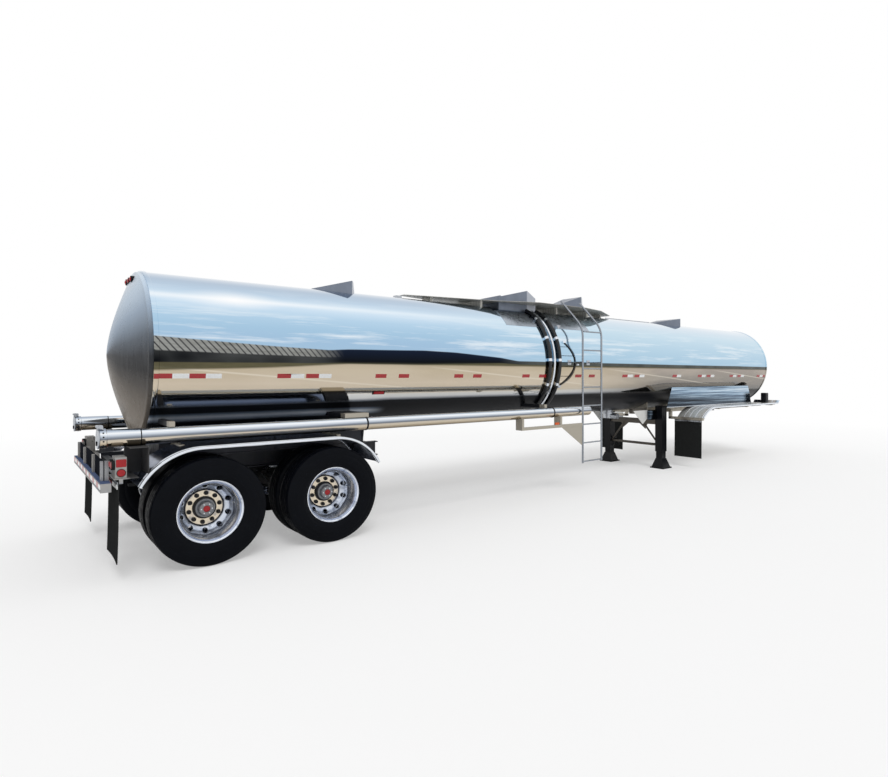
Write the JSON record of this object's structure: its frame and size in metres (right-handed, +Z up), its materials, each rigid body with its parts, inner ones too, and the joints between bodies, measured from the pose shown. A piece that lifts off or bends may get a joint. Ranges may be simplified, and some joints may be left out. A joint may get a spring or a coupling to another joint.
{
  "type": "tanker semi-trailer",
  "caption": "Cylindrical tank semi-trailer on twin-tyred tandem axles, parked on its landing legs, with hose tubes, side ladder and top walkway.",
  "frame": {"origin": "on the ground, midway along the overall length and on the centre line", "axes": "+X forward to the kingpin, +Y to the left side, +Z up"},
  "size_m": [13.7552, 2.582, 3.276],
  "materials": {
    "polished_shell": "mirror-polished stainless jacket",
    "satin_steel": "satin stainless steel",
    "polished_tube": "polished aluminium",
    "guard_grey": "satin grey paint",
    "frame_beige": "plain satin metal",
    "chassis_black": "satin black paint",
    "axle_black": "semi-gloss black paint",
    "tyre": "black rubber",
    "rubber": "matt black rubber",
    "wheel_alloy": "polished aluminium",
    "hub_grey": "machined and painted grey",
    "fender_bright": "bright stainless sheet",
    "lamp": "clear-coated lens",
    "kingpin_steel": "machined steel",
    "walkway_metal": "dull open-grip aluminium"
  },
  "bodies": {
    "trailer": {"tank_shell": "polished_shell", "rear_head": "satin_steel", "front_head": "polished_shell", "overturn_guards": "guard_grey", "spill_box": "guard_grey", "walkway": "walkway_metal", "top_fittings": "satin_steel", "drain_hoses": "rubber", "drain_pipe": "polished_tube", "manhole_collar": "satin_steel", "ladder_rails": "polished_tube", "ladder_rungs": "polished_tube", "hose_tube_right": "polished_tube", "hose_tube_left": "polished_tube", "tube_brackets": "frame_beige", "subframe": "frame_beige", "air_tank": "chassis_black", "rear_fenders": "fender_bright", "suspension_hangers": "frame_beige", "trailing_arms": "axle_black", "air_springs": "rubber", "axles": "axle_black", "brake_chambers": "axle_black", "rear_bumper": "satin_steel", "lamps": "lamp", "mud_flaps": "rubber", "landing_legs": "chassis_black", "leg_bracing": "frame_beige", "leg_crank": "chassis_black", "upper_coupler": "frame_beige", "kingpin": "kingpin_steel", "front_fenders": "fender_bright", "front_skirts": "fender_bright", "belly_outlet": "satin_steel"},
    "manhole_lid": {"manhole_lid": "satin_steel"},
    "tube_door_right": {"tube_door_right": "polished_tube"},
    "tube_door_left": {"tube_door_left": "polished_tube"},
    "wheel_rear_left": {"tyres_rear_left": "tyre", "wheels_rear_left": "wheel_alloy", "hub_rear_left": "hub_grey"},
    "wheel_rear_right": {"tyres_rear_right": "tyre", "wheels_rear_right": "wheel_alloy", "hub_rear_right": "hub_grey"},
    "wheel_front_left": {"tyres_front_left": "tyre", "wheels_front_left": "wheel_alloy", "hub_front_left": "hub_grey"},
    "wheel_front_right": {"tyres_front_right": "tyre", "wheels_front_right": "wheel_alloy", "hub_front_right": "hub_grey"}
  },
  "joints": [
    {"name": "wheel_rear_left_spin", "type": "hinge", "parent": "trailer", "child": "wheel_rear_left", "pos_m": [-5.97235, 0.9805, 0.522], "axis": [0, 1, 0], "continuous": true},
    {"name": "wheel_rear_right_spin", "type": "hinge", "parent": "trailer", "child": "wheel_rear_right", "pos_m": [-5.97235, -0.9805, 0.522], "axis": [0, 1, 0], "continuous": true},
    {"name": "wheel_front_left_spin", "type": "hinge", "parent": "trailer", "child": "wheel_front_left", "pos_m": [-4.72235, 0.9805, 0.522], "axis": [0, 1, 0], "continuous": true},
    {"name": "wheel_front_right_spin", "type": "hinge", "parent": "trailer", "child": "wheel_front_right", "pos_m": [-4.72235, -0.9805, 0.522], "axis": [0, 1, 0], "continuous": true},
    {"name": "manhole_lid_hinge", "type": "hinge", "parent": "trailer", "child": "manhole_lid", "pos_m": [-1.36935, 0, 3.07], "axis": [0, -1, 0], "range_deg": [0, 100]},
    {"name": "tube_door_right_hinge", "type": "hinge", "parent": "trailer", "child": "tube_door_right", "pos_m": [-6.86465, -1.08, 1.38], "axis": [0, 1, 0], "range_deg": [0, 110]},
    {"name": "tube_door_left_hinge", "type": "hinge", "parent": "trailer", "child": "tube_door_left", "pos_m": [-6.86465, 1.08, 1.38], "axis": [0, 1, 0], "range_deg": [0, 110]}
  ]
}
